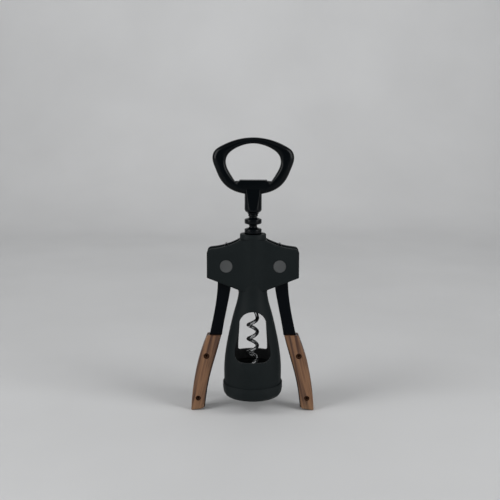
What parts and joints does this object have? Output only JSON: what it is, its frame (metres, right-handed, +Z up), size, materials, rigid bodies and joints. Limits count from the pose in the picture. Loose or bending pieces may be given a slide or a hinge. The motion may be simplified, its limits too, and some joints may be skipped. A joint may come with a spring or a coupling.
{
  "type": "wing corkscrew",
  "caption": "Wing corkscrew: a windowed bell with winged cheeks, geared levers with wooden handles, a ring-toothed rack, a helical worm and a ring handle that lifts crown caps.",
  "frame": {"origin": "centre of the bottle socket at its mouth, which is the lower rim of the bell", "axes": "+Z up along the worm, +X to the right of someone facing the front, -Y out of the front with the larger window"},
  "size_m": [0.0882, 0.0426, 0.1947],
  "materials": {
    "body_coat": "matte",
    "ring_plastic": "matte",
    "cap_plastic": "satin",
    "lever_coat": "gloss",
    "handle_wood": "oiled",
    "rivet_bronze": "dark",
    "worm_steel": "polished",
    "pin_steel": "satin"
  },
  "bodies": {
    "frame": {"body_frame": "body_coat", "base_ring": "ring_plastic", "guide_bush": "ring_plastic", "left_pivot_pin": "pin_steel", "right_pivot_pin": "pin_steel", "left_front_cap": "cap_plastic", "left_back_cap": "cap_plastic", "right_front_cap": "cap_plastic", "right_back_cap": "cap_plastic"},
    "left_lever_body": {"left_lever": "lever_coat", "left_front_scale": "handle_wood", "left_back_scale": "handle_wood", "left_upper_rivet": "rivet_bronze", "left_lower_rivet": "rivet_bronze"},
    "right_lever_body": {"right_lever": "lever_coat", "right_front_scale": "handle_wood", "right_back_scale": "handle_wood", "right_upper_rivet": "rivet_bronze", "right_lower_rivet": "rivet_bronze"},
    "rack": {"rack_sleeve": "lever_coat"},
    "spindle": {"worm": "worm_steel", "ring_handle": "lever_coat", "handle_pin": "pin_steel"}
  },
  "joints": [
    {"name": "left_lever_hinge", "type": "hinge", "parent": "frame", "child": "left_lever_body", "pos_m": [-0.0186, 0, 0.094], "axis": [0, 1, 0], "range_deg": [0, 104]},
    {"name": "right_lever_hinge", "type": "hinge", "parent": "frame", "child": "right_lever_body", "pos_m": [0.0186, 0, 0.094], "axis": [0, -1, 0], "range_deg": [0, 104]},
    {"name": "rack_slide", "type": "slide", "parent": "frame", "child": "rack", "axis": [0, 0, -1], "range_m": [0, 0.02376]},
    {"name": "handle_spin", "type": "hinge", "parent": "rack", "child": "spindle", "pos_m": [0, 0, 0], "axis": [0, 0, 1], "continuous": true}
  ],
  "couplings": [
    {"joint": "right_lever_hinge", "follows": "left_lever_hinge", "ratio": 1},
    {"joint": "rack_slide", "follows": "left_lever_hinge", "m_per_rad": 0.013083}
  ]
}
